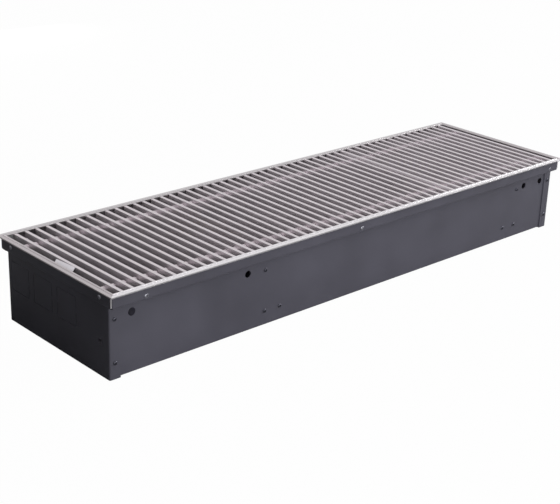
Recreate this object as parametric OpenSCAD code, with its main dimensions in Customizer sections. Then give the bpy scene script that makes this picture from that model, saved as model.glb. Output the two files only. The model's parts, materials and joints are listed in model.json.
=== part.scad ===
// Trench convector heater, 1000 mm class: steel trough, finned exchanger, roll-up grille in an edge frame.
// Origin at the bottom centre. +X runs along the length to the end without pipe entries, +Z is up.

/* [Casing] */
// Length over the outer faces of the two end plates
casing_l = 989; // [900:1:1200]
// Width over the outer faces of the long walls
casing_w = 255.6; // [245:0.2:280]
// Thickness of the folded steel sheet
sheet_t = 1.2; // [1:0.1:1.4]
// Bend radius of the sheet, on its middle line
sheet_bend_r = 1.8; // [1.2:0.1:1.8]
// Height of the underside of the ledges that carry the bars
ledge_z = 111.6; // [110:0.1:120]
// Width of the long ledges, outward from the walls
ledge_w = 12; // [11.5:0.1:16]
// Overhang of the end ledges, outward from the end plates
end_ledge_w = 3.8; // [3.7:0.1:5]
// How far the long rims run past the end plates
rim_past = 1.2; // [0.6:0.1:1.4]
// How far the end rims stop short of the long rims' outer faces
end_rim_short = 2.6; // [2.6:0.1:4]
// How far the end plates' flanges lap along the walls
flange_lap = 18.5; // [15:0.5:24]

/* [Wall holes] */
// Diameter of the large round holes in the long walls
wall_hole_d = 11; // [9:0.5:13]
// Height of the large round holes
wall_hole_z = 94.5; // [88:0.5:98]
// First hole, from the left end plate: this one is plugged
wall_hole_in_1 = 39.5; // [35:0.5:60]
// Second hole, from the left end plate
wall_hole_in_2 = 251.5; // [230:0.5:262]
// Third hole, from the right end plate
wall_hole_in_3 = 78; // [70:0.5:84]
// Fourth hole, from the right end plate
wall_hole_in_4 = 31; // [28:0.5:45]

/* [Knock-outs] */
// Width of a knock-out for pipes in the left end plate
ko_w = 48; // [40:1:52]
// Height of a knock-out
ko_h = 47; // [40:1:50]
// Height of the knock-outs' centres
ko_z = 76.5; // [72:0.5:80]
// Centre of the rearmost knock-out, from the rear wall's outer face
ko_first_in = 31.8; // [30:0.1:36]
// Distance between the knock-outs' centres
ko_pitch = 61; // [56:0.5:64]
// Corner radius of a knock-out
ko_r = 3; // [1:0.5:5]
// Width of the cut round a knock-out
ko_cut = 0.8; // [0.5:0.1:1]
// Width of the webs that hold a knock-out in its plate
ko_web = 3; // [2:0.5:5]
// Diameter of the earthing lead's hole near the front of the left end plate
lead_hole_d = 8; // [6:0.5:10]
// Distance of that hole from the front wall's outer face
lead_hole_in = 21.1; // [18:0.1:30]
// Height of that hole
lead_hole_z = 53.3; // [40:0.1:70]

/* [Edge frame] */
// Thickness of the frame's lip over the rims
lip_t = 2; // [1.6:0.1:2.4]
// Height of the rims above the ledges' undersides, up to the lip
rim_h = 20.05; // [19.9:0.05:22]
// Overhang of the lip past the long rims
lip_over_long = 6.2; // [5.6:0.1:6.4]
// Overhang of the lip past the end rims
lip_over_end = 3.45; // [3:0.05:3.8]
// Width of the lip
lip_w = 10.7; // [10.4:0.1:11.5]
// Thickness of the frame's leg inside the rims
leg_t = 1.6; // [1.4:0.1:1.8]
// Depth of that leg under the lip
leg_h = 16.9; // [16.4:0.1:17]
// First screw of a long rail, from the left end plate
frame_screw_in_1 = 56; // [40:0.5:70]
// Place of its second screw along the heater
frame_screw_x_2 = -14.5; // [-60:0.1:60]
// Third screw, from the right end plate
frame_screw_in_3 = 20; // [19:0.5:60]
// Height of these screws above the ledges' undersides
frame_screw_up = 6; // [5.6:0.1:8]
// Depth of the end rails' screws under the lip
end_screw_drop = 8.6; // [5:0.1:11]
// Distance of the end rails' screws from the rails' ends
end_screw_in = 33; // [30:0.5:50]
// Leg length of the corner keys
key_len = 16; // [10:1:17]
// Thickness of the corner keys
key_t = 1.5; // [1:0.1:1.7]

/* [Grille] */
// Distance between neighbouring bars
bar_pitch = 18; // [17.5:0.1:18.1]
// Distance between neighbouring bars in the part that rolls up
roll_pitch = 18.3; // [18:0.1:18.4]
// Gap between the left end rail and the first bar
bar_first_gap = 12.6; // [11.5:0.1:14]
// Least gap between the last bar and the right end rail, for a fingertip
finger_gap = 6; // [4:0.5:7.5]
// Width of a bar's head
bar_w = 5.5; // [5:0.1:6]
// Width of a bar's foot
bar_foot_w = 4; // [3.5:0.1:4.5]
// Height of a bar
bar_h = 18.5; // [16.5:0.1:18.5]
// Depth of the straight part of a bar, under its top
bar_head_h = 12; // [10:0.1:13]
// Chamfer of a bar's top edges
bar_chamfer = 0.5; // [0.3:0.1:0.8]
// Gap between a bar's end and the lip
bar_end_gap = 0.5; // [0.3:0.1:0.8]
// Distance of each spring wire from the bars' ends
wire_in = 37.3; // [26:0.1:50]
// Depth of the spring wires' axis under the bars' tops
wire_drop = 9.15; // [8.5:0.05:9.5]
// Diameter of the spring wire
wire_d = 4; // [3:0.1:4.5]
// Diameter of the spacer sleeves on the wire
sleeve_d = 9; // [8:0.1:10]
// Length of the end sleeves in the gap before the first bar
end_sleeve_l = 10; // [8:0.5:11]
// Thickness of the damping strip under the bars
strip_t = 2; // [1.4:0.1:2.1]
// Length of the bare name tag on the first bar
tag_l = 47.5; // [40:0.5:60]
// Height of the tag
tag_h = 9; // [7:0.5:9]
// Thickness of the tag
tag_t = 0.8; // [0.5:0.1:1]
// Place of the tag's middle along its bar
tag_y = -3.7; // [-40:0.1:40]
// Depth of the tag's upper edge under the bar's top
tag_drop = 1.6; // [1.5:0.1:2.2]
// Tilt of the tag along its bar, in degrees
tag_tilt = 3; // [0:0.5:3]
// Lean of the tag away from its bar, in degrees
tag_lean = 40; // [0:1:45]

/* [Heat exchanger] */
// Outer diameter of the copper tubes
tube_d = 15; // [12:0.5:18]
// Wall of the copper tubes
tube_wall = 1; // [0.7:0.1:1.2]
// Height difference between the two rows of tubes
tube_rise = 37.5; // [34:0.5:40]
// Width of a fin
fin_w = 110; // [100:1:112]
// Height of a fin
fin_h = 76; // [65:1:78]
// Thickness of a fin
fin_t = 0.5; // [0.4:0.1:0.8]
// Distance between fins
fin_pitch = 8; // [6:0.5:10]
// Thickness of the guard plates at the ends of the fin block
guard_t = 1.5; // [1:0.1:2]
// Gap between a bracket's web and the fin block
fin_gap = 14; // [10:0.5:20]
// How far the tubes pass the brackets' webs
tube_past = 14; // [12:0.5:18]
// Length of a pipe adaptor
port_l = 36; // [32:1:40]
// Width of a pipe adaptor's hexagon over its corners
port_d = 28; // [27:0.5:30]
// Minor diameter of the adaptors' half-inch female thread
port_bore_d = 18.64; // [18.2:0.02:19]
// Depth of that thread
port_depth = 14; // [12:0.5:16]

/* [Brackets] */
// Thickness of the exchanger brackets
bracket_t = 1.5; // [1.2:0.1:2]
// Left bracket's web, from the left end plate
bracket_in_left = 278; // [270:1:300]
// Right bracket's web, from the right end plate
bracket_in_right = 89.5; // [86:0.5:120]
// Height of the brackets above the trough's floor
bracket_h = 102; // [98:1:105]
// Length of a bracket's foot along the wall
bracket_foot = 48; // [44:1:60]
// Length of a bracket's flange at its top
bracket_top = 17; // [15:1:24]
// Distance of the first screw column from the web
bracket_screw_in = 8.5; // [8:0.5:9]
// Distance between the screw columns
bracket_screw_pitch = 31; // [28:0.5:34]
// Height of the upper screws
screw_up_z = 92; // [86:0.5:94]
// Height of the lower screws
screw_low_z = 25; // [20:0.5:34]

/* [Screws and levelling] */
// Diameter of the sheet screws
screw_d = 3.5; // [3:0.1:4]
// Diameter of their heads
screw_head_d = 6.6; // [6:0.1:7.5]
// Height of their heads
screw_head_h = 1.6; // [1.2:0.1:2]
// Height of the flat heads on the rims
rim_head_h = 0.9; // [0.6:0.1:1.1]
// Distance of the corner screws from the end plates' outer faces
corner_screw_in = 9.5; // [8:0.5:12]
// Diameter of the levelling screws
level_d = 8; // [6:0.5:10]
// Length of the levelling screws
level_l = 48; // [40:1:60]
// Distance of the levelling screws from the end plates
level_in = 30; // [24:1:32]
// Distance of the levelling screws from the long walls
level_wall = 24; // [18:1:30]

/* [Hidden] */
$fn = 48;
over = 1; // overrun of every cut
fit = 0.05; // radial clearance of a screw or tube in its hole
slip = 0.2; // gap beside a sheet that slides into place

casing_x = casing_l / 2;
wall_y = casing_w / 2;
pan_x = casing_x - sheet_t / 2 - sheet_bend_r;
pan_z = sheet_t;
floor_z = pan_z + sheet_t;
wall_in_y = wall_y - sheet_t;
rim_y = wall_y + ledge_w;
rim_x = casing_x + end_ledge_w;
ledge_top = ledge_z + sheet_t;
lip_z = ledge_z + rim_h;
frame_y = rim_y + lip_over_long;
frame_x = rim_x + lip_over_end;
lip_in_y = frame_y - lip_w;
lip_in_x = frame_x - lip_w;
leg_y = rim_y - sheet_t - slip;
leg_x = rim_x - sheet_t - slip;
end_rim_half_w = rim_y - end_rim_short;
rim_notch = min(end_ledge_w - rim_past, end_rim_short); // open corner between two rims
bead_r = rim_notch / 2 - slip;
end_screw_y = frame_y - end_screw_in;

bar_z = ledge_top + strip_t;
bar_top = bar_z + bar_h;
bar_half = lip_in_y - bar_end_gap;
wire_y = bar_half - wire_in;
bar_x0 = -lip_in_x + bar_first_gap + bar_w / 2;
roll_count = 8; // bars at the left that roll up, one node each
flat_x0 = bar_x0 + roll_count * roll_pitch;
bar_count = roll_count + 1 + floor((lip_in_x - finger_gap - bar_w / 2 - flat_x0) / bar_pitch);
wire_z = bar_top - wire_drop;
sleeve_r = sleeve_d / 2;
hinge_gap = 0.3;
hinge_back = bar_w / 2 + hinge_gap + sleeve_r; // from a bar's middle back to the hinge line beside it

ko_first_y = wall_y - ko_first_in;
lead_hole_y = -wall_y + lead_hole_in;
exch_y = ko_first_y - ko_pitch / 2;
tube_up_z = ko_z;
tube_low_z = ko_z - tube_rise;
tube_ys = [exch_y - ko_pitch / 2, exch_y + ko_pitch / 2];
tube_zs = [tube_low_z, tube_up_z];
web_l = -casing_x + bracket_in_left;
web_r = casing_x - bracket_in_right;
tube_x0 = web_l - tube_past;
tube_x1 = web_r + tube_past;
fins_x0 = web_l + bracket_t + fin_gap;
fins_x1 = web_r - bracket_t - fin_gap;
fin_count = floor((fins_x1 - fins_x0 - 2 * guard_t) / fin_pitch);
grommet_d = tube_d + 6 * sheet_t;
grommet_lip = 2 * sheet_t;
grommet_l = bracket_t + 2 * grommet_lip;
port_end = web_l - grommet_lip - slip;
port_x = port_end - port_l;
port_neck = tube_d / 2;
vent_d = 0.45 * port_d;
vent_h = 0.5 * port_d;
vent_x = port_x + port_depth + vent_d / 2;
vent_z = tube_up_z + port_d / 2; // level with the hexagon's corners
vent_screw_d = 0.5 * vent_d;
vent_screw_depth = 0.6 * vent_h;
vent_screw_h = vent_h;

steel_paint = [0.17, 0.17, 0.20];
anodised = [0.84, 0.82, 0.83];
bar_metal = [0.74, 0.71, 0.72];
zinc = [0.70, 0.70, 0.68];
copper = [0.72, 0.45, 0.30];
brass = [0.78, 0.66, 0.38];
fin_metal = [0.80, 0.81, 0.82];
black_rubber = [0.08, 0.08, 0.08];
pale_plastic = [0.78, 0.75, 0.76];

wall_hole_xs = [-casing_x + wall_hole_in_1, -casing_x + wall_hole_in_2,
                casing_x - wall_hole_in_3, casing_x - wall_hole_in_4];
frame_screw_z = ledge_z + frame_screw_up;
frame_screw_xs = [-casing_x + frame_screw_in_1, frame_screw_x_2, casing_x - frame_screw_in_3];
end_screw_z = lip_z - end_screw_drop;
level_x = casing_x - level_in;
level_y = wall_in_y - level_wall;

// Outline of a bent sheet: a middle line with square bends, its thickness and its bend radius
function left_of(d) = [-d[1], d[0]];
function dir_to(p, q) = (q - p) / norm(q - p);
function turn_sign(a, b) = a[0] * b[1] - a[1] * b[0] > 0 ? 1 : -1;
function bend_side(p, q, s, r, off, steps) =
    let (a = dir_to(p, q), b = dir_to(q, s), k = turn_sign(a, b), n = left_of(a) * k,
         c = q - a * r + n * r)
    [for (i = [0:steps]) c + (r - k * off) * (a * sin(90 * i / steps) - n * cos(90 * i / steps))];
function sheet_side(path, r, off, steps = 5) =
    let (last = len(path) - 1, a = dir_to(path[0], path[1]), b = dir_to(path[last - 1], path[last]))
    concat([path[0] + left_of(a) * off],
           [for (i = [1:last - 1]) each bend_side(path[i - 1], path[i], path[i + 1], r, off, steps)],
           [path[last] + left_of(b) * off]);
function reversed(list) = [for (i = [len(list) - 1:-1:0]) list[i]];
module bent_sheet(path, t = sheet_t, r = sheet_bend_r)
    polygon(concat(sheet_side(path, r, t / 2), reversed(sheet_side(path, r, -t / 2))));

// Extrudes an outline drawn in Y and Z along X, about the middle
module along_x(length) rotate([90, 0, 90]) linear_extrude(length, center = true) children();
// Extrudes an outline drawn in X and Z along Y, about the middle
module along_y(length) rotate([90, 0, 0]) linear_extrude(length, center = true) children();
module box_at(x0, x1, y0, y1, z0, z1) translate([x0, y0, z0]) cube([x1 - x0, y1 - y0, z1 - z0]);
module rod_x(d, x0, x1) translate([x0, 0, 0]) rotate([0, 90, 0]) cylinder(d = d, h = x1 - x0);
// A hexagonal bar with flats at its top and bottom, measured over its corners
module hex_x(d, x0, x1) translate([x0, 0, 0]) rotate([30, 0, 0]) rotate([0, 90, 0])
    cylinder(d = d, h = x1 - x0, $fn = 6);
module rounded(w, h, r) {
    square([w - 2 * r, h], center = true);
    square([w, h - 2 * r], center = true);
    for (x = [-1, 1], y = [-1, 1]) translate([x * (w / 2 - r), y * (h / 2 - r)]) circle(r);
}

// Cuts a round hole through both long walls
module wall_bores(d, x, z) translate([x, 0, z]) rotate([90, 0, 0])
    cylinder(d = d, h = 2 * rim_y + over, center = true);
// Places its children at the same spot of the front and the rear wall, facing outward
module on_walls(y, x, z) for (side = [0, 180])
    rotate(side) translate([side == 0 ? x : -x, -y, z]) rotate([90, 0, 0]) children();
module screw(length, head_h = screw_head_h) {
    cylinder(d = screw_head_d, h = head_h);
    translate([0, 0, -length]) cylinder(d = screw_d, h = length + head_h / 2);
}

pan_path = let (h = sheet_t / 2, b = rim_y - h, w = wall_y - h)
    [[b, lip_z], [b, ledge_z + h], [w, ledge_z + h], [w, pan_z + h],
     [-w, pan_z + h], [-w, ledge_z + h], [-b, ledge_z + h], [-b, lip_z]];

module trough_pan() color(steel_paint) difference() {
    union() {
        along_x(2 * pan_x) bent_sheet(pan_path);
        along_x(2 * (casing_x + rim_past)) intersection() {
            bent_sheet(pan_path);
            for (s = [-1, 1]) translate([s * (wall_y + 2 * sheet_t + ledge_w), lip_z / 2])
                square([2 * ledge_w, 2 * lip_z], center = true);
        }
    }
    for (x = wall_hole_xs) wall_bores(wall_hole_d, x, wall_hole_z);
    for (x = frame_screw_xs) wall_bores(screw_d + 2 * fit, x, frame_screw_z);
    for (s = [-1, 1]) {
        for (z = [screw_low_z, screw_up_z])
            wall_bores(screw_d + 2 * fit, s * (casing_x - corner_screw_in), z);
        for (t = [-1, 1]) translate([s * level_x, t * level_y, 0])
            cylinder(d = 1.4 * level_d + 2 * fit, h = floor_z + over);
    }
    for (p = bracket_screw_places()) wall_bores(screw_d + 2 * fit, p[0], p[1]);
}

// Screw places of both brackets, as X and Z
function bracket_screw_places() = [for (s = [[web_l, 1], [web_r, -1]],
    q = [[0, screw_up_z], [0, screw_low_z], [bracket_screw_pitch, screw_low_z]])
    [s[0] + s[1] * (bracket_screw_in + q[0]), q[1]]];

// An end plate drawn for the left end: web, two side flanges, bottom flange and a joggled rim
module end_plate() {
    web_y = wall_y + sheet_t;
    h = sheet_t / 2;
    difference() {
        union() {
            // web with its rim
            along_y(2 * wall_in_y) bent_sheet([[-casing_x + h, h], [-casing_x + h, ledge_top + h],
                [-rim_x + h, ledge_top + h], [-rim_x + h, lip_z]]);
            along_y(2 * end_rim_half_w) bent_sheet([[-casing_x + sheet_t, ledge_top + h],
                [-rim_x + h, ledge_top + h], [-rim_x + h, lip_z]]);
            // folded flanges, one outline seen from above
            linear_extrude(ledge_z - slip) bent_sheet([
                [-casing_x + flange_lap, -web_y + h], [-casing_x + h, -web_y + h],
                [-casing_x + h, web_y - h], [-casing_x + flange_lap, web_y - h]]);
            box_at(-casing_x + h, -casing_x + flange_lap, -wall_y + sheet_bend_r, wall_y - sheet_bend_r,
                   0, sheet_t);
        }
        for (z = [screw_low_z, screw_up_z])
            wall_bores(screw_d + 2 * fit, -casing_x + corner_screw_in, z);
        for (y = [-end_screw_y, end_screw_y]) translate([-casing_x, y, end_screw_z])
            rotate([0, -90, 0]) cylinder(d = screw_d + 2 * fit, h = end_ledge_w + over);
    }
}

module knockout_cut() {
    difference() {
        rounded(ko_w, ko_h, ko_r);
        rounded(ko_w - 2 * ko_cut, ko_h - 2 * ko_cut, ko_r - ko_cut);
        square([ko_web, ko_h + over], center = true);
        square([ko_w + over, ko_web], center = true);
    }
}

module end_plate_left() color(steel_paint) difference() {
    end_plate();
    for (i = [0:2]) translate([-casing_x, ko_first_y - i * ko_pitch, ko_z])
        along_x(4 * sheet_t) knockout_cut();
    translate([-casing_x, lead_hole_y, lead_hole_z]) rotate([0, 90, 0])
        cylinder(d = lead_hole_d, h = 4 * sheet_t, center = true);
}
module end_plate_right() color(steel_paint) rotate(180) end_plate();

// A long rail of the edge frame: mitred lip over the rim, leg inside it, and a round bead at each end
// that fills the rims' open corner
module long_rail() difference() {
    union() {
        translate([0, 0, lip_z]) linear_extrude(lip_t) polygon([
            [-frame_x, -frame_y], [frame_x, -frame_y], [lip_in_x, -lip_in_y], [-lip_in_x, -lip_in_y]]);
        box_at(-leg_x, leg_x, -leg_y, -leg_y + leg_t, lip_z - leg_h, lip_z);
        for (s = [-1, 1]) translate([s * (rim_x - rim_notch / 2), -rim_y + rim_notch / 2, lip_z - leg_h])
            cylinder(r = bead_r, h = leg_h);
    }
    for (x = frame_screw_xs) wall_bores(screw_d + 2 * fit, x, frame_screw_z);
}
module frame_front() color(anodised) long_rail();
module frame_rear() color(anodised) mirror([0, 1, 0]) long_rail();

// An end rail, drawn for the left end, of the same shape as the long rails
module end_rail() difference() {
    end_leg_y = leg_y - leg_t;
    union() {
        translate([0, 0, lip_z]) linear_extrude(lip_t) polygon([
            [-frame_x, -frame_y], [-lip_in_x, -lip_in_y], [-lip_in_x, lip_in_y], [-frame_x, frame_y]]);
        box_at(-leg_x, -leg_x + leg_t, -end_leg_y, end_leg_y, lip_z - leg_h, lip_z);
    }
    for (y = [-end_screw_y, end_screw_y]) translate([-casing_x, y, end_screw_z])
        rotate([0, -90, 0]) cylinder(d = screw_d + 2 * fit, h = end_ledge_w + over);
}
module frame_end_left() color(anodised) end_rail();
module frame_end_right() color(anodised) rotate(180) end_rail();

// Angles that join the rails in the corners
module corner_keys() color(zinc) for (sx = [0, 1], sy = [0, 1]) mirror([sx, 0, 0]) mirror([0, sy, 0]) {
    x0 = -leg_x + leg_t;
    y0 = -leg_y + leg_t;
    translate([0, 0, lip_z - leg_h]) linear_extrude(leg_h) bent_sheet([
        [x0 + key_len, y0 + key_t / 2], [x0 + key_t / 2, y0 + key_t / 2], [x0 + key_t / 2, y0 + key_len]],
        key_t, key_t);
}

module ledge_strip() box_at(-casing_x + 2 * sheet_t, casing_x - 2 * sheet_t, -bar_half,
                            -wall_in_y, ledge_top, ledge_top + strip_t);
module ledge_strip_front() color(black_rubber) ledge_strip();
module ledge_strip_rear() color(black_rubber) mirror([0, 1, 0]) ledge_strip();

// One grille bar at its place, with two bores for the spring wires
function bar_x(i) = i < roll_count ? bar_x0 + i * roll_pitch : flat_x0 + (i - roll_count) * bar_pitch;
module bar(i) translate([bar_x(i), 0, 0]) difference() {
    along_y(2 * bar_half) polygon([
        [-bar_foot_w / 2, bar_z], [bar_foot_w / 2, bar_z], [bar_w / 2, bar_top - bar_head_h],
        [bar_w / 2, bar_top - bar_chamfer], [bar_w / 2 - bar_chamfer, bar_top],
        [-bar_w / 2 + bar_chamfer, bar_top], [-bar_w / 2, bar_top - bar_chamfer],
        [-bar_w / 2, bar_top - bar_head_h]]);
    for (y = [-wire_y, wire_y]) translate([0, y, wire_z]) rod_x(wire_d + 2 * slip, -bar_w, bar_w);
}
module grille_bars() color(bar_metal) for (i = [roll_count:bar_count - 1]) bar(i);

// Plain sleeves between the bars that stay flat
module grille_spacers() color(pale_plastic) for (i = [roll_count:bar_count - 2], y = [-wire_y, wire_y])
    translate([bar_x(i), y, wire_z]) difference() {
        rod_x(sleeve_d, bar_w / 2 + fit, bar_pitch - bar_w / 2 - fit);
        rod_x(wire_d + 2 * slip, 0, bar_pitch);
    }
module spring_wire(y) translate([0, y, wire_z])
    rod_x(wire_d, bar_x(roll_count) - bar_w / 2 + fit, bar_x(bar_count - 1) + bar_w / 2 - fit);
module spring_wire_front() color(zinc) spring_wire(-wire_y);
module spring_wire_rear() color(zinc) spring_wire(wire_y);

// Sleeves with a domed end, each with its stretch of the wire through its own bar
module roll_spacers(i) color(pale_plastic) for (y = [-wire_y, wire_y])
    translate([bar_x(i), y, wire_z]) rotate([0, 90, 0]) {
        start = bar_w / 2 + fit;
        dome = roll_pitch - hinge_back;
        translate([0, 0, start]) cylinder(r = sleeve_r, h = dome - start);
        translate([0, 0, -bar_w / 2 + fit]) cylinder(d = wire_d, h = bar_w);
        rotate_extrude() intersection() {
            translate([0, dome]) circle(sleeve_r);
            translate([0, dome]) square(2 * sleeve_r);
        }
    }
// Plain sleeves that keep the first bar off the left end rail
module end_sleeves() color(pale_plastic) for (y = [-wire_y, wire_y]) translate([bar_x(0), y, wire_z]) {
    rod_x(sleeve_d, -bar_w / 2 - fit - end_sleeve_l, -bar_w / 2 - fit);
    rod_x(wire_d, -bar_w / 2 - fit - end_sleeve_l, 0);
}
module roll_bar(i) color(bar_metal) bar(i);
module roll_bar_1() roll_bar(0);
module roll_bar_2() roll_bar(1);
module roll_bar_3() roll_bar(2);
module roll_bar_4() roll_bar(3);
module roll_bar_5() roll_bar(4);
module roll_bar_6() roll_bar(5);
module roll_bar_7() roll_bar(6);
module roll_bar_8() roll_bar(7);
module roll_spacers_1() {
    roll_spacers(0);
    end_sleeves();
}
module roll_spacers_2() roll_spacers(1);
module roll_spacers_3() roll_spacers(2);
module roll_spacers_4() roll_spacers(3);
module roll_spacers_5() roll_spacers(4);
module roll_spacers_6() roll_spacers(5);
module roll_spacers_7() roll_spacers(6);
module roll_spacers_8() roll_spacers(7);

// A bare tag held by its upper edge on the left face of the first bar, from which its foot leans away
module name_tag() color([0.86, 0.87, 0.90]) translate([
    bar_x(0) - (bar_w + tag_h * sin(tag_lean) + tag_t * cos(tag_lean)) / 2, tag_y,
    bar_top - tag_drop - tag_h * cos(tag_lean) / 2])
        rotate([-tag_tilt, 0, 0]) rotate([0, tag_lean, 0]) along_x(tag_t) rounded(tag_l, tag_h, tag_t);

// A bracket drawn for the left: web across the trough with four tube holes, and a flange on each wall
module bracket() difference() {
    y1 = wall_in_y - slip;
    z1 = floor_z + bracket_h;
    union() {
        translate([bracket_t / 2, 0, 0]) along_x(bracket_t) polygon([
            [-y1 + sheet_bend_r, floor_z], [y1 - sheet_bend_r, floor_z], [y1, floor_z + sheet_bend_r],
            [y1, z1], [-y1, z1], [-y1, floor_z + sheet_bend_r]]);
        for (s = [-1, 1]) translate([0, s * (y1 - bracket_t / 2), 0]) along_y(bracket_t) polygon([
            [0, floor_z + sheet_bend_r], [bracket_foot, floor_z + sheet_bend_r],
            [bracket_foot, screw_low_z + screw_head_d],
            [bracket_top, screw_up_z - screw_head_d], [bracket_top, z1], [0, z1]]);
    }
    for (y = tube_ys, z = tube_zs) translate([0, y, z]) rod_x(grommet_d, -over, bracket_t + over);
    // air openings in front of the exchanger
    translate([bracket_t / 2, (exch_y - fin_w / 2 - y1) / 2, (floor_z + z1) / 2])
        along_x(bracket_t + over) rounded(0.62 * (exch_y - fin_w / 2 + y1), 0.6 * bracket_h, ko_r);
    for (q = [[0, screw_up_z], [0, screw_low_z], [bracket_screw_pitch, screw_low_z]])
        wall_bores(screw_d + 2 * fit, bracket_screw_in + q[0], q[1]);
}
module bracket_left() color(zinc) translate([web_l, 0, 0]) bracket();
module bracket_right() color(zinc) translate([web_r, 0, 0]) mirror([1, 0, 0]) bracket();

module heater_tubes() color(copper) for (y = tube_ys, z = tube_zs) translate([0, y, z]) difference() {
    rod_x(tube_d, tube_x0, tube_x1);
    rod_x(tube_d - 2 * tube_wall, tube_x0 - over, tube_x1 + over);
}
module fin_plate(x, t) difference() {
    box_at(x, x + t, exch_y - fin_w / 2, exch_y + fin_w / 2,
           (tube_low_z + tube_up_z - fin_h) / 2, (tube_low_z + tube_up_z + fin_h) / 2);
    for (y = tube_ys, z = tube_zs) translate([0, y, z]) rod_x(tube_d + 2 * fit, x - over, x + t + over);
}
module heater_fins() color(fin_metal) {
    first = (fins_x0 + fins_x1 - (fin_count - 1) * fin_pitch - fin_t) / 2;
    for (i = [0:fin_count - 1]) fin_plate(first + i * fin_pitch, fin_t);
}
module fin_guards() color(zinc) {
    fin_plate(fins_x0 - guard_t, guard_t);
    fin_plate(fins_x1, guard_t);
}

// Half a ring of tube, opening towards -X, with the two ends apart along Y
module half_ring(pitch) rotate([0, 0, -90]) rotate_extrude(angle = 180)
    translate([pitch / 2, 0]) difference() {
        circle(d = tube_d);
        circle(d = tube_d - 2 * tube_wall);
    }
module return_bends() color(copper) {
    for (y = tube_ys) translate([tube_x1, y, (tube_low_z + tube_up_z) / 2]) rotate([90, 0, 0])
        half_ring(tube_rise);
    translate([tube_x0, exch_y, tube_low_z]) mirror([1, 0, 0]) half_ring(ko_pitch);
}
module tube_grommets() color(black_rubber) for (y = tube_ys, z = tube_zs, w = [web_l, web_r - bracket_t])
    translate([w - grommet_lip, y, z]) difference() {
        union() {
            rod_x(grommet_d + 2 * grommet_lip, 0, grommet_lip);
            rod_x(grommet_d, 0, grommet_l);
            rod_x(grommet_d + 2 * grommet_lip, grommet_l - grommet_lip, grommet_l);
        }
        rod_x(tube_d + 2 * fit, -over, grommet_l + over);
    }

// A pipe adaptor: a hexagon with a female thread that opens towards the left end, and a socket on its tube
module port(y) translate([0, y, tube_up_z]) difference() {
    union() {
        hex_x(port_d, port_x, port_end - port_neck);
        rod_x(tube_d + 4 * tube_wall, port_x, port_end);
    }
    rod_x(port_bore_d, port_x - over, port_x + port_depth);
    rod_x(tube_d - 2 * tube_wall, port_x, port_end);
    rod_x(tube_d + 2 * fit, tube_x0 - fit, port_end + over);
}
module flow_port() color(brass) difference() {
    port(tube_ys[0]);
    translate([vent_x, tube_ys[0], tube_up_z])
        cylinder(d = vent_d / 2, h = port_d);
    translate([vent_x, tube_ys[0], vent_z - vent_h / 4])
        cylinder(d = vent_d + 2 * fit, h = port_d);
}
module return_port() color(brass) port(tube_ys[1]);
module vent_body() color(brass) translate([vent_x, tube_ys[0], vent_z - vent_h / 4])
    difference() {
        union() {
            cylinder(d = vent_d, h = vent_h);
            translate([0, 0, -vent_h / 4]) cylinder(d = vent_d / 2 - 2 * fit, h = vent_h / 2);
        }
        translate([0, 0, vent_h - vent_screw_depth]) cylinder(d = vent_screw_d + 2 * fit, h = vent_h);
    }
module vent_screw() color(brass)
    translate([vent_x, tube_ys[0], vent_z + 3 * vent_h / 4 - vent_screw_depth + fit]) difference() {
        cylinder(d = vent_screw_d, h = vent_screw_h);
        translate([0, 0, vent_screw_h]) cube([vent_screw_d + over, vent_screw_d / 5, vent_screw_d / 2],
                                            center = true);
    }

// Plugs in the first hole of each long wall
module hole_plugs() color(black_rubber) on_walls(wall_y, wall_hole_xs[0], wall_hole_z) {
    cylinder(d = wall_hole_d + 2 * sheet_t, h = sheet_t / 2);
    translate([0, 0, -3 * sheet_t]) cylinder(d = wall_hole_d - 2 * fit, h = 3 * sheet_t + sheet_t / 4);
}

module bracket_screws() color(zinc) for (p = bracket_screw_places())
    on_walls(wall_y, p[0], p[1]) screw(2 * sheet_t + bracket_t);
module corner_screws() color(zinc) for (s = [-1, 1], z = [screw_low_z, screw_up_z])
    on_walls(wall_y + sheet_t, s * (casing_x - corner_screw_in), z) screw(3 * sheet_t);
module frame_screws() color(zinc) for (x = frame_screw_xs)
    on_walls(rim_y, x, frame_screw_z) screw(sheet_t + slip + leg_t, rim_head_h);
module end_rail_screws() color(zinc) for (s = [0, 180], y = [-end_screw_y, end_screw_y])
    rotate(s) translate([-rim_x, y, end_screw_z]) rotate([0, -90, 0])
        screw(sheet_t + slip + leg_t, rim_head_h);

module rivet_nuts() color(zinc) for (s = [-1, 1], t = [-1, 1]) translate([s * level_x, t * level_y, 0])
    difference() {
        union() {
            translate([0, 0, pan_z]) cylinder(d = 1.4 * level_d, h = 1.5 * level_d);
            translate([0, 0, floor_z]) cylinder(d = 1.8 * level_d, h = sheet_t);
        }
        cylinder(d = level_d + 2 * fit, h = 2 * level_d + over);
    }
module levelling_screw(sx, sy) color(zinc) translate([sx * level_x, sy * level_y, pan_z]) difference() {
    cylinder(d = level_d, h = level_l);
    translate([0, 0, level_l - level_d / 2]) cylinder(d = level_d / 2, h = level_d, $fn = 6);
}
module levelling_screw_1() levelling_screw(-1, -1);
module levelling_screw_2() levelling_screw(-1, 1);
module levelling_screw_3() levelling_screw(1, -1);
module levelling_screw_4() levelling_screw(1, 1);

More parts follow.
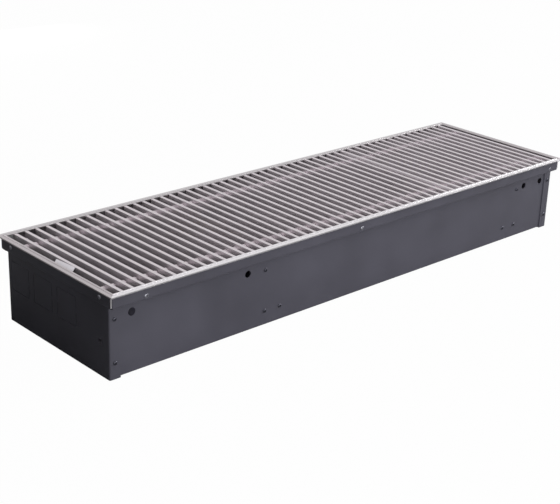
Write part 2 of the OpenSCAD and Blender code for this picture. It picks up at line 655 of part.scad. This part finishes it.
trough_pan();
end_plate_left();
end_plate_right();
frame_front();
frame_rear();
frame_end_left();
frame_end_right();
corner_keys();
ledge_strip_front();
ledge_strip_rear();
grille_bars();
grille_spacers();
spring_wire_front();
spring_wire_rear();
name_tag();
roll_bar_1();
roll_bar_2();
roll_bar_3();
roll_bar_4();
roll_bar_5();
roll_bar_6();
roll_bar_7();
roll_bar_8();
roll_spacers_1();
roll_spacers_2();
roll_spacers_3();
roll_spacers_4();
roll_spacers_5();
roll_spacers_6();
roll_spacers_7();
roll_spacers_8();
bracket_left();
bracket_right();
heater_tubes();
heater_fins();
fin_guards();
return_bends();
tube_grommets();
flow_port();
return_port();
vent_body();
vent_screw();
hole_plugs();
bracket_screws();
corner_screws();
frame_screws();
end_rail_screws();
rivet_nuts();
levelling_screw_1();
levelling_screw_2();
levelling_screw_3();
levelling_screw_4();
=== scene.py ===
import json
import math

import bmesh
import bpy
from mathutils import Matrix, Vector


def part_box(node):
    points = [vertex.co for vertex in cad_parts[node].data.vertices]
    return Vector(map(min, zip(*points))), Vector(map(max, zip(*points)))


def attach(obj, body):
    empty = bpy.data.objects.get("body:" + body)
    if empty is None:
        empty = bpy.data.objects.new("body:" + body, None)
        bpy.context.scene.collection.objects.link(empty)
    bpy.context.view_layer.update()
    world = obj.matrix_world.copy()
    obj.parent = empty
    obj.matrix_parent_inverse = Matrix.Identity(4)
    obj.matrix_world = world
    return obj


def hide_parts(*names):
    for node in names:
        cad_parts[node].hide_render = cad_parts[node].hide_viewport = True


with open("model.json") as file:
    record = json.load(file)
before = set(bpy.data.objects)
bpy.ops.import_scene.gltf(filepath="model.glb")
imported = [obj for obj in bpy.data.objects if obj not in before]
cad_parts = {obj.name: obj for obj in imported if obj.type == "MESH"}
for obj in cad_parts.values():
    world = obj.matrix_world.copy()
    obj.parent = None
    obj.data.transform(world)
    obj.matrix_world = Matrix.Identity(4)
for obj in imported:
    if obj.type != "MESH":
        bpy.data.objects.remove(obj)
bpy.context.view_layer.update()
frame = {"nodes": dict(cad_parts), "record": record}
nodes = frame["nodes"]
scene = bpy.context.scene
bodyOf = {node: body for body, members in frame["record"]["behaviour"]["bodies"].items() for node in members}
slotOf = {part["node"]: part["material_slot"] for part in frame["record"]["subparts"]}


mmPerMetre = 1000


def mm(value):
    return value / mmPerMetre


def inMm(metres):
    return metres * mmPerMetre


def perMm(size):
    return mmPerMetre / size  # texture scale for features that are this many millimetres apart


def linear(hexColour):
    # an sRGB hex colour as the linear values that a shader takes
    channels = [int(hexColour[i:i + 2], 16) / 255 for i in (1, 3, 5)]
    return [c / 12.92 if c <= 0.04045 else ((c + 0.055) / 1.055) ** 2.4 for c in channels] + [1]


# Camera, solved from the photograph's straight edges
cameraSetup = {"azimuth": -43.081, "elevation": 22.067, "roll": 1.996, "lens": 82.62,
               "place": (-1.4053, -1.4383, 0.8416), "sensor": 36, "farthest": 50}


def makeCamera(setup):
    camera = bpy.data.objects.new("photoCamera", bpy.data.cameras.new("photoCamera"))
    scene.collection.objects.link(camera)
    camera.data.sensor_width = setup["sensor"]
    camera.data.lens = setup["lens"]
    camera.data.clip_end = setup["farthest"]
    turn = (Matrix.Rotation(math.radians(setup["azimuth"]), 4, "Z")
            @ Matrix.Rotation(math.radians(90 - setup["elevation"]), 4, "X")
            @ Matrix.Rotation(math.radians(setup["roll"]), 4, "Z"))
    camera.matrix_world = Matrix.Translation(setup["place"]) @ turn
    scene.camera = camera


makeCamera(cameraSetup)


# Materials; their sizes and depths are in millimetres
noiseLow, noiseHigh = 0.3, 0.7  # most values of a noise texture lie between these two


def addNode(tree, kind, inputs=None, **settings):
    node = tree.nodes.new(kind)
    for name, value in settings.items():
        setattr(node, name, value)
    for name, value in (inputs or {}).items():
        if isinstance(value, bpy.types.NodeSocket):
            tree.links.new(value, node.inputs[name])
        else:
            node.inputs[name].default_value = value
    return node


def startMaterial(name, **fixed):
    material = bpy.data.materials.new(name)
    material.use_nodes = True
    tree = material.node_tree
    shader = tree.nodes["Principled BSDF"]
    for socket, value in fixed.items():
        shader.inputs[socket.replace("_", " ")].default_value = value
    place = addNode(tree, "ShaderNodeTexCoord").outputs["Object"]
    return material, tree, shader, place


def grain(tree, place, size, stretch=(1, 1, 1), detail=2):
    squeezed = addNode(tree, "ShaderNodeMapping", {"Vector": place, "Scale": [1 / s for s in stretch]})
    return addNode(tree, "ShaderNodeTexNoise", {"Vector": squeezed.outputs[0], "Scale": perMm(size),
                                                "Detail": detail}).outputs["Fac"]


def spread(tree, value, low, high, fromLow=noiseLow, fromHigh=noiseHigh):
    return addNode(tree, "ShaderNodeMapRange", {"Value": value, "From Min": fromLow, "From Max": fromHigh,
                                                "To Min": low, "To Max": high}).outputs[0]


def tinted(tree, value, dark, light, low=noiseLow, high=noiseHigh):
    ramp = addNode(tree, "ShaderNodeValToRGB", {"Fac": value})
    ramp.color_ramp.elements[0].position = low
    ramp.color_ramp.elements[0].color = linear(dark)
    ramp.color_ramp.elements[1].position = high
    ramp.color_ramp.elements[1].color = linear(light)
    return ramp.outputs["Color"]


def bumped(tree, shader, height, depth):
    bump = addNode(tree, "ShaderNodeBump", {"Height": height, "Distance": mm(depth), "Strength": 1.0})
    tree.links.new(bump.outputs["Normal"], shader.inputs["Normal"])


coatLook = {"dark": "#43424C", "light": "#4B4A55", "smoothest": 0.40, "roughest": 0.48, "ior": 1.5,
            "cloudSize": 90, "peelSize": 1.6, "peelDepth": 0.03}


def powderCoat(look):
    # polyester powder coat, satin anthracite: a fine orange peel that softens its reflections
    material, tree, shader, place = startMaterial("powderCoat", Metallic=0.0, IOR=look["ior"])
    cloud = grain(tree, place, look["cloudSize"])
    peel = grain(tree, place, look["peelSize"])
    tree.links.new(tinted(tree, cloud, look["dark"], look["light"]), shader.inputs["Base Color"])
    tree.links.new(spread(tree, cloud, look["smoothest"], look["roughest"]), shader.inputs["Roughness"])
    bumped(tree, shader, peel, look["peelDepth"])
    return material


lineLook = {"size": 0.5, "stretch": 400, "detail": 3, "depth": 0.006, "cloudSize": 60,
            "smoother": 0.03, "rougher": 0.05}


def anodised(name, dark, light, along, rough):
    # natural anodised aluminium extrusion: a soft satin with faint die lines along the profile
    material, tree, shader, place = startMaterial(name, Metallic=1.0)
    stretch = [lineLook["stretch"] if axis == along else 1 for axis in "xyz"]
    lines = grain(tree, place, lineLook["size"], stretch, lineLook["detail"])
    cloud = grain(tree, place, lineLook["cloudSize"])
    tree.links.new(tinted(tree, lines, dark, light), shader.inputs["Base Color"])
    roughness = spread(tree, cloud, rough - lineLook["smoother"], rough + lineLook["rougher"])
    tree.links.new(roughness, shader.inputs["Roughness"])
    bumped(tree, shader, lines, lineLook["depth"])
    return material


zincLook = {"spangleSize": 7, "dark": "#9A9EA0", "light": "#C3C6C6", "smoothest": 0.32, "roughest": 0.5,
            "rippleSize": 2.5, "rippleDepth": 0.01}


def galvanised(look):
    # hot-dip galvanised sheet: pale spangles a few millimetres across
    material, tree, shader, place = startMaterial("galvanisedSheet", Metallic=1.0)
    cells = addNode(tree, "ShaderNodeTexVoronoi", {"Vector": place, "Scale": perMm(look["spangleSize"])})
    shade = addNode(tree, "ShaderNodeSeparateColor", {"Color": cells.outputs["Color"]}).outputs[0]
    tree.links.new(tinted(tree, shade, look["dark"], look["light"], 0, 1), shader.inputs["Base Color"])
    tree.links.new(spread(tree, shade, look["smoothest"], look["roughest"], 0, 1), shader.inputs["Roughness"])
    bumped(tree, shader, grain(tree, place, look["rippleSize"]), look["rippleDepth"])
    return material


metalLook = {"detail": 3, "rougher": 0.12, "depth": 0.005}
mouldedLook = {"rougher": 0.1, "ior": 1.5, "depth": 0.02}


def metal(name, dark, light, rough, size, stretch=(1, 1, 1)):
    # a plated, rolled, drawn or turned metal: clouds of this size in tone, roughness and height
    material, tree, shader, place = startMaterial(name, Metallic=1.0)
    cloud = grain(tree, place, size, stretch, metalLook["detail"])
    tree.links.new(tinted(tree, cloud, dark, light), shader.inputs["Base Color"])
    tree.links.new(spread(tree, cloud, rough, rough + metalLook["rougher"]), shader.inputs["Roughness"])
    bumped(tree, shader, cloud, metalLook["depth"])
    return material


def moulded(name, dark, light, rough, size, depth=mouldedLook["depth"], ior=mouldedLook["ior"], metallic=0.0):
    # a moulded plastic or rubber: a soft grain of this size
    material, tree, shader, place = startMaterial(name, Metallic=metallic, IOR=ior)
    cloud = grain(tree, place, size)
    tree.links.new(tinted(tree, cloud, dark, light), shader.inputs["Base Color"])
    tree.links.new(spread(tree, cloud, rough, rough + mouldedLook["rougher"]), shader.inputs["Roughness"])
    bumped(tree, shader, cloud, depth)
    return material


finishes = {
    "painted_steel": powderCoat(coatLook),
    # the three rails are one anodised aluminium: the long front rail's lighter colour is painted light, the
    # end and rear rails' darker colours are painted shade
    "rail_x_painted_light": anodised("anodisedLongRailPaintedLight", "#DEDBDE", "#E9E6E9", "x", 0.30),
    "rail_y_painted_shade": anodised("anodisedEndRailPaintedShade", "#B0A9AC", "#BDB7B9", "y", 0.36),
    "rail_rear_painted_shade": anodised("anodisedRearRailPaintedShade", "#BEBABC", "#CAC6C8", "x", 0.34),
    "anodised_bars": anodised("anodisedBar", "#C6BFC3", "#D3CDD1", "y", 0.5),
    # polyamide sleeves with a metallic lacquer in the bars' colour: they catch the sky like the bars
    "spacer_plastic": moulded("lacqueredPolyamide", "#D8CFD3", "#E6DEE2", 0.4, 3, metallic=0.8),
    # drawn spring steel: bright, with lines along the wire
    "spring_steel": metal("springSteel", "#8E8E90", "#B4B4B6", 0.25, 0.4, stretch=(60, 1, 1)),
    # aluminised label foil: a pale satin mirror, slightly crumpled
    "tag_foil": metal("labelFoil", "#CDC9CE", "#DAD6DB", 0.3, 14),
    "zinc_sheet": galvanised(zincLook),
    # bright zinc plate: a cool grey with small clouds
    "zinc_screws": metal("zincPlate", "#A9ABAB", "#C6C8C6", 0.25, 4),
    # black zinc plate over steel: dark grey with a sheen that glints in the recess
    "black_screws": metal("blackZincPlate", "#43434B", "#595962", 0.34, 2),
    # the rim's screws glint: black zinc plated screws given a lighter grey colour, a painted glint
    "rim_screws_painted_glint": metal("rimScrewPaintedGlint", "#85858D", "#A2A2AA", 0.28, 2),
    # drawn copper: patches of light tarnish
    "copper_tube": metal("drawnCopper", "#A9623F", "#D08A62", 0.24, 16, stretch=(4, 1, 1)),
    # mill-finish fin foil: soft clouds of sheen
    "fin_aluminium": metal("finFoil", "#B5B8BB", "#D3D6D8", 0.3, 6),
    # turned brass: warm, fine tool marks
    "brass": metal("turnedBrass", "#B08D46", "#D2B36C", 0.22, 1.2, stretch=(0.2, 1, 1)),
    # EPDM rubber: matt black with a dry bloom
    "black_rubber": moulded("epdmRubber", "#0E0D16", "#191724", 0.65, 5, 0.03, 1.3)}
finishOf = {node: finishes.get(slot) for node, slot in slotOf.items()}

# the rails and the rim's screws differ in look from the rest of their slots: the rails are lit and shaded
# copies of one anodised aluminium, with painted light on the front rail and painted shade on the end and rear
# rails, and the rim's screws carry a painted glint
ownFinish = {"frame_front": "rail_x_painted_light", "frame_rear": "rail_rear_painted_shade", "frame_end_left": "rail_y_painted_shade",
             "frame_end_right": "rail_y_painted_shade", "frame_screws": "rim_screws_painted_glint", "end_rail_screws": "rim_screws_painted_glint"}
for node, key in ownFinish.items():
    finishOf[node] = finishes[key]
for node, thing in nodes.items():
    for holder in thing.material_slots:
        holder.material = finishOf[node]
print("materials made:", len(finishes))


# Shape helpers
sharpAngle = 40  # degrees between two faces that meet in an edge
flatAngle = 0.5  # degrees, below which neighbouring faces are taken for one
cadWeld = 0.002  # mm, corners of a CAD mesh this close are one
turnedWeld = 0.001  # mm, the same for the poles of a turned shape
bevelSegments = 2
sortDigits = 5  # places behind the point, in metres, that put a node's solids in order


def merged(node):
    # the CAD mesh of a node, with its corners joined
    shape = bmesh.new()
    shape.from_mesh(nodes[node].data)
    bmesh.ops.remove_doubles(shape, verts=shape.verts, dist=mm(cadWeld))
    return shape


def solidBoxes(node):
    # lowest and highest corner of each separate solid of a CAD node, in order along X, Y and Z
    shape = merged(node)
    waiting = set(shape.verts)
    boxes = []
    while waiting:
        front = [waiting.pop()]
        group = []
        while front:
            vert = front.pop()
            group.append(vert.co.copy())
            for edge in vert.link_edges:
                other = edge.other_vert(vert)
                if other in waiting:
                    waiting.remove(other)
                    front.append(other)
        boxes.append((Vector(map(min, *group)), Vector(map(max, *group))))
    shape.free()
    return sorted(boxes, key=lambda box: [round(c, sortDigits) for c in (box[0] + box[1]) / 2])


def finishPiece(shape, name, node, replaced=True, smooth=True, slot=None):
    # one new piece from a bmesh: it rides on the node's body and takes the node's finish, or another slot's
    mesh = bpy.data.meshes.new(name)
    shape.to_mesh(mesh)
    shape.free()
    piece = bpy.data.objects.new(name, mesh)
    scene.collection.objects.link(piece)
    mesh.materials.append(finishes[slot] if slot else finishOf[node])
    for polygon in mesh.polygons:
        polygon.use_smooth = smooth
    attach(piece, bodyOf[node])
    if replaced:
        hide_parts(node)
    return piece


def softenEdges(node, name, width, smooth=True, shape=None):
    # the CAD shape, or one cut from it, with its edges broken as on a real pressed, cut or extruded piece
    shape = shape or merged(node)
    bmesh.ops.dissolve_limit(shape, angle_limit=math.radians(flatAngle), verts=shape.verts,
                             edges=shape.edges)
    piece = finishPiece(shape, name, node, smooth=smooth)
    piece.data.set_sharp_from_angle(angle=math.radians(sharpAngle))
    bevel = piece.modifiers.new("edges", "BEVEL")
    bevel.width = mm(width)
    bevel.segments = bevelSegments
    bevel.limit_method = "ANGLE"
    bevel.angle_limit = math.radians(sharpAngle)
    bevel.use_clamp_overlap = True
    bevel.harden_normals = smooth


hexagonSteps = 6


def turned(profile, steps=24, closed=False):
    # a shape of revolution about Z from (radius, height) pairs in millimetres
    shape = bmesh.new()
    verts = [shape.verts.new((mm(r), 0, mm(z))) for r, z in profile]
    edges = [shape.edges.new(pair) for pair in zip(verts, verts[1:] + verts[:1] if closed else verts[1:])]
    bmesh.ops.spin(shape, geom=verts + edges, cent=(0, 0, 0), axis=(0, 0, 1), angle=2 * math.pi, steps=steps,
                   use_merge=True)
    bmesh.ops.remove_doubles(shape, verts=shape.verts, dist=mm(turnedWeld))
    bmesh.ops.recalc_face_normals(shape, faces=shape.faces)
    return shape


def gathered(template, places):
    # one bmesh with a copy of the template at each matrix
    mesh = bpy.data.meshes.new("template")
    template.to_mesh(mesh)
    template.free()
    whole = bmesh.new()
    for place in places:
        start = len(whole.verts)
        whole.from_mesh(mesh)
        whole.verts.ensure_lookup_table()
        bmesh.ops.transform(whole, matrix=place, verts=whole.verts[start:])
    bpy.data.meshes.remove(mesh)
    return whole


def facing(point, direction, spin=0):
    # a matrix that takes the Z axis of a template to a direction at a point, after a spin in degrees
    turn = Vector((0, 0, 1)).rotation_difference(Vector(direction)).to_matrix().to_4x4()
    return Matrix.Translation(point) @ turn @ Matrix.Rotation(math.radians(spin), 4, "Z")


def block(halfX, halfY, low, high):
    # a box about the Z axis, from one height to another, all in millimetres
    shape = bmesh.new()
    bmesh.ops.create_cube(shape, size=1)
    bmesh.ops.scale(shape, vec=(mm(2 * halfX), mm(2 * halfY), mm(high - low)), verts=shape.verts)
    bmesh.ops.translate(shape, vec=(0, 0, mm(high + low) / 2), verts=shape.verts)
    return shape


def carved(shape, *cutters):
    # the shape with the cutters' volumes taken out
    for cutter in cutters:
        things = []
        for part in (shape, cutter):
            mesh = bpy.data.meshes.new("trial")
            part.to_mesh(mesh)
            part.free()
            things.append(bpy.data.objects.new("trial", mesh))
            scene.collection.objects.link(things[-1])
        cut = things[0].modifiers.new("cut", "BOOLEAN")
        cut.object = things[1]
        shape = bmesh.new()
        shape.from_object(things[0], bpy.context.evaluated_depsgraph_get())
        for thing in things:
            mesh = thing.data
            bpy.data.objects.remove(thing)
            bpy.data.meshes.remove(mesh)
    return shape


def thread(outer, root, low, high, pitch):
    # the zigzag of a thread's profile, from low to high
    turns = int((high - low) / pitch)
    return [point for i in range(turns)
            for point in ((root, low + i * pitch), (outer, low + (i + 0.5) * pitch))]


# Folded sheet, rails and bars with broken edges, whose widths are in millimetres
edgeWidths = {"trough_pan": 0.2, "end_plate_left": 0.2, "end_plate_right": 0.2,
              "frame_front": 0.4, "frame_rear": 0.4, "frame_end_left": 0.4, "frame_end_right": 0.4,
              "corner_keys": 0.2, "bracket_left": 0.2, "bracket_right": 0.2, "fin_guards": 0.2,
              "name_tag": 0.15, "grille_bars": 0.2, "ledge_strip_front": 0.3, "ledge_strip_rear": 0.3,
              "grille_spacers": 0.5, "tube_grommets": 0.6, "rivet_nuts": 0.4, "vent_body": 0.6,
              "vent_screw": 0.3}
edgeWidths.update({"roll_bar_%d" % i: 0.2 for i in range(1, 9)})
edgeWidths.update({"roll_spacers_%d" % i: 0.5 for i in range(1, 9)})
flatSided = ("frame_", "grille_bars", "roll_bar", "ledge_strip", "name_tag", "fin_guards")

# the line that runs along each rail's lip; its cutter starts this far above the lip
grooveShape = {"inFromEdge": 6.6, "width": 1.0, "depth": 0.5, "above": 1}


def grooveCutter(node):
    # a long bar above the rail's lip that reaches down into it by the groove's depth
    low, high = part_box(node)
    along = 0 if high[0] - low[0] > high[1] - low[1] else 1
    across = 1 - along
    top = inMm(high[2])
    half = [0, 0]
    half[along] = inMm(high[along] - low[along])
    half[across] = grooveShape["width"] / 2
    cutter = block(half[0], half[1], top - grooveShape["depth"], top + grooveShape["above"])
    outer = high[across] if high[across] > -low[across] else low[across]
    shift = [0, 0, 0]
    shift[across] = outer - math.copysign(mm(grooveShape["inFromEdge"]), outer)
    bmesh.ops.translate(cutter, vec=shift, verts=cutter.verts)
    return cutter


for node, width in edgeWidths.items():
    shape = carved(merged(node), grooveCutter(node)) if node.startswith("frame_") else None
    softenEdges(node, node + "_shape", width, smooth=not node.startswith(flatSided), shape=shape)
print("softened:", len(edgeWidths))


# Sheet screws with a cross recess; the dome is given in shares of the head's radius and height
screwShape = {"headRadius": 3.3, "shaftRadius": 1.75, "rootRadius": 1.3, "pitch": 1.0, "recessArm": 1.9,
              "recessHalf": 0.42, "recessShare": 0.7, "panHeight": 1.6, "flatHeight": 0.9, "turnStep": 37,
              "dome": [(0, 1), (0.5, 0.97), (0.78, 0.82), (0.94, 0.5), (1, 0.15), (0.97, 0)]}


def sheetScrew(height, length):
    # drawn along Z, with the underside of its head at zero
    radius = screwShape["headRadius"]
    profile = [(out * radius, up * height) for out, up in screwShape["dome"]]
    profile.append((screwShape["shaftRadius"], 0))
    profile += reversed(thread(screwShape["shaftRadius"], screwShape["rootRadius"], -length, 0,
                               screwShape["pitch"]))
    floor = height * (1 - screwShape["recessShare"])
    arm, half = screwShape["recessArm"], screwShape["recessHalf"]
    return carved(turned(profile + [(0, -length)]), block(arm, half, floor, 2 * height),
                  block(half, arm, floor, 2 * height))


screwHeights = {"bracket_screws": "panHeight", "corner_screws": "panHeight", "frame_screws": "flatHeight",
                "end_rail_screws": "flatHeight"}
for node, kind in screwHeights.items():
    height = screwShape[kind]
    axis = 0 if node == "end_rail_screws" else 1
    boxes = solidBoxes(node)
    length = inMm((boxes[0][1] - boxes[0][0])[axis]) - height
    places = []
    for count, (low, high) in enumerate(boxes):
        outward = Vector((0, 0, 0))
        outward[axis] = 1 if low[axis] > 0 else -1
        seat = (low + high) / 2
        seat[axis] = high[axis] - mm(height) if outward[axis] > 0 else low[axis] + mm(height)
        places.append(facing(seat, outward, screwShape["turnStep"] * count))
    finishPiece(gathered(sheetScrew(height, length), places), node + "_shape", node, smooth=False)
print("screws made:", len(screwHeights))


# Levelling screws with a thread and a hexagon socket
levelShape = {"radius": 4, "root": 3.45, "pitch": 1.25, "socket": 2, "socketDepth": 4, "runOut": 0.4,
              "above": 1}
for count in range(1, 5):
    node = "levelling_screw_%d" % count
    low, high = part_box(node)
    length = inMm(high[2] - low[2])
    profile = [(0, 0), (levelShape["root"], 0)]
    profile += thread(levelShape["radius"], levelShape["root"], levelShape["runOut"],
                      length - levelShape["runOut"], levelShape["pitch"])
    profile += [(levelShape["root"], length), (0, length)]
    floor = length - levelShape["socketDepth"]
    top = length + levelShape["above"]
    socket = turned([(0, floor), (levelShape["socket"], floor), (levelShape["socket"], top), (0, top)],
                    hexagonSteps)
    shape = carved(turned(profile), socket)
    middle = Vector(((low[0] + high[0]) / 2, (low[1] + high[1]) / 2, low[2]))
    finishPiece(gathered(shape, [Matrix.Translation(middle)]), node + "_shape", node, smooth=False)
print("levelling screws made")


# Collars that hold the fins on the tubes, and brazed rings where the bends join
collarShape = {"radius": 7.55, "wall": 0.5, "length": 2.2, "steps": 16}
ringShape = {"steps": 32, "profile": [(0, -2.2), (0.5, -1.8), (1, -0.6), (1, 0.6), (0.5, 1.8), (0, 2.2)]}
sameRow = 5  # mm in height, within which tubes count as one row
tubes = [((low + high) / 2, low.x, high.x) for low, high in solidBoxes("heater_tubes")]
fins = [(low.x + high.x) / 2 for low, high in solidBoxes("heater_fins")]
inner, wall, length = (collarShape[key] for key in ("radius", "wall", "length"))
collar = turned([(inner, 0), (inner + 2 * wall, 0), (inner + wall, wall), (inner + wall, length),
                 (inner, length)], collarShape["steps"], closed=True)
places = [facing((x, middle.y, middle.z), (1, 0, 0)) for x in fins for middle, left, right in tubes]
finishPiece(gathered(collar, places), "finCollars", "heater_fins", replaced=False)
ring = turned([(inner + out, along) for out, along in ringShape["profile"]], ringShape["steps"], closed=True)
lowest = min(middle.z for middle, left, right in tubes)
places = [facing((right, middle.y, middle.z), (1, 0, 0)) for middle, left, right in tubes]
places += [facing((left, middle.y, middle.z), (1, 0, 0)) for middle, left, right in tubes
           if middle.z < lowest + mm(sameRow)]
finishPiece(gathered(ring, places), "brazedRings", "return_bends", replaced=False, slot="brass")
for node in ("heater_tubes", "return_bends", "spring_wire_front", "spring_wire_rear"):
    finishPiece(merged(node), node + "_shape", node).data.set_sharp_from_angle(angle=math.radians(sharpAngle))
print("fins and tubes dressed:", len(fins))


# Plugs pressed into the first hole of each wall, with a dimple where the thumb pushed
plugShape = {"height": 0.6, "steps": 32,
             "profile": [(0, 0.25), (2.0, 0.3), (2.9, 0.6), (4.6, 0.6), (5.6, 0.4), (6.1, 0.05), (5.45, 0),
                         (5.45, -2.4), (5.0, -3.5), (0, -3.6)]}
places = []
for low, high in solidBoxes("hole_plugs"):
    seat = (low + high) / 2
    outward = Vector((0, 1 if seat.y > 0 else -1, 0))
    seat.y = high.y - mm(plugShape["height"]) if seat.y > 0 else low.y + mm(plugShape["height"])
    places.append(facing(seat, outward))
plug = turned(plugShape["profile"], plugShape["steps"])
finishPiece(gathered(plug, places), "hole_plugs_shape", "hole_plugs")
print("plugs made")


# Pipe adaptors: a hexagon to hold with a spanner, a threaded bore and a socket for the tube
portShape = {"hexRadius": 13.99, "chamfer": 1.2, "socketRadius": 9.5, "socketLength": 7.5, "tubeRadius": 7.55,
             "boreRadius": 9.32, "threadRoot": 10.2, "threadStart": 0.6, "threadEnd": 14, "pitch": 1.814,
             "mouth": 1.6, "overlap": 1, "socketChamfer": 0.5, "steps": 32, "spin": 30}


def adaptor(length):
    # drawn along Z from its open end
    hexRadius, chamfer, socket, tube, bore, depth, past, edge = (portShape[key] for key in (
        "hexRadius", "chamfer", "socketRadius", "tubeRadius", "boreRadius", "threadEnd", "overlap",
        "socketChamfer"))
    hexLength = length - portShape["socketLength"]
    mouth = bore + portShape["mouth"]
    cutter = [(0, -past), (mouth, -past), (mouth, 0)]
    cutter += thread(bore, portShape["threadRoot"], portShape["threadStart"], depth, portShape["pitch"])
    cutter += [(bore, depth), (tube, depth), (tube, length + past), (0, length + past)]
    hexagon = turned([(0, 0), (hexRadius - chamfer, 0), (hexRadius, chamfer),
                      (hexRadius, hexLength - chamfer), (hexRadius - chamfer, hexLength), (0, hexLength)],
                     hexagonSteps)
    sleeve = turned([(tube, hexLength - past), (socket, hexLength - past), (socket, length - edge),
                     (socket - edge, length), (tube, length)], portShape["steps"], closed=True)
    whole = carved(hexagon, turned(cutter, portShape["steps"]))
    mesh = bpy.data.meshes.new("trial")
    sleeve.to_mesh(mesh)
    sleeve.free()
    whole.from_mesh(mesh)
    bpy.data.meshes.remove(mesh)
    return whole


for node in ("flow_port", "return_port"):
    low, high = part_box(node)
    seat = (low[0], (low[1] + high[1]) / 2, (low[2] + high[2]) / 2)
    shape = gathered(adaptor(inMm(high[0] - low[0])), [facing(seat, (1, 0, 0), portShape["spin"])])
    finishPiece(shape, node + "_shape", node).data.set_sharp_from_angle(angle=math.radians(sharpAngle))
print("pipe adaptors made")


# Floor and light; places and sizes of lamps are in metres, their power in watts
lightSetup = {"ambient": 0.03, "mirrored": 0.92, "floorGlow": 0.985, "floorShade": 0.6, "floorHalf": 14,
              "floorDrop": 0.5, "lampsAimAt": (0, 0, 0.1)}
lamps = {"keyLight": {"place": (3, -1, 1.5), "size": 1.6, "power": 100},
         "frontFill": {"place": (-0.3, -1.9, 0.45), "size": 0.8, "power": 21},
         # below the plane of the lips, so that no rail or bar mirrors it
         "backFill": {"place": (0.2, 1.9, 0.06), "size": 1.0, "height": 0.08, "power": 14}}


def makeStage(setup):
    world = bpy.data.worlds.new("studio")
    scene.world = world
    world.use_nodes = True
    tree = world.node_tree
    # the camera sees white, mirroring faces see a bright sky and matt faces a faint one
    path = addNode(tree, "ShaderNodeLightPath")
    mirrored = addNode(tree, "ShaderNodeMapRange", {"Value": path.outputs["Is Glossy Ray"],
                                                    "To Min": setup["ambient"], "To Max": setup["mirrored"]})
    level = addNode(tree, "ShaderNodeMath", {0: path.outputs["Is Camera Ray"], 1: mirrored.outputs[0]},
                    operation="MAXIMUM")
    sky = tree.nodes["Background"]
    sky.inputs["Color"].default_value = (1, 1, 1, 1)
    tree.links.new(level.outputs[0], sky.inputs["Strength"])

    shape = bmesh.new()
    bmesh.ops.create_grid(shape, x_segments=1, y_segments=1, size=setup["floorHalf"])
    mesh = bpy.data.meshes.new("floor")
    shape.to_mesh(mesh)
    shape.free()
    floor = bpy.data.objects.new("floor", mesh)
    floor.location.z = -mm(setup["floorDrop"])
    scene.collection.objects.link(floor)
    material = bpy.data.materials.new("paleFloor")
    material.use_nodes = True
    tree = material.node_tree
    tree.nodes.remove(tree.nodes["Principled BSDF"])
    # the camera sees mostly a white glow, with a small share of matt floor that keeps the shadow
    path = addNode(tree, "ShaderNodeLightPath")
    matt = addNode(tree, "ShaderNodeBsdfDiffuse", {"Color": [setup["floorShade"]] * 3 + [1]})
    glow = addNode(tree, "ShaderNodeEmission", {"Color": (1, 1, 1, 1), "Strength": 1.0})
    share = addNode(tree, "ShaderNodeMath", {0: path.outputs["Is Camera Ray"], 1: setup["floorGlow"]},
                    operation="MULTIPLY")
    mix = addNode(tree, "ShaderNodeMixShader", {0: share.outputs[0], 1: matt.outputs[0], 2: glow.outputs[0]})
    tree.links.new(mix.outputs[0], tree.nodes["Material Output"].inputs["Surface"])
    mesh.materials.append(material)


def areaLight(name, place, size, power, height=None):
    lamp = bpy.data.lights.new(name, "AREA")
    lamp.energy = power
    lamp.shape = "RECTANGLE"
    lamp.size = size
    lamp.size_y = height or size
    thing = bpy.data.objects.new(name, lamp)
    thing.location = place
    aim = Vector(lightSetup["lampsAimAt"]) - Vector(place)
    thing.rotation_euler = aim.to_track_quat("-Z", "Y").to_euler()
    scene.collection.objects.link(thing)


makeStage(lightSetup)
for name, lamp in lamps.items():
    areaLight(name, lamp["place"], lamp["size"], lamp["power"], height=lamp.get("height"))
scene.view_settings.view_transform = "Standard"
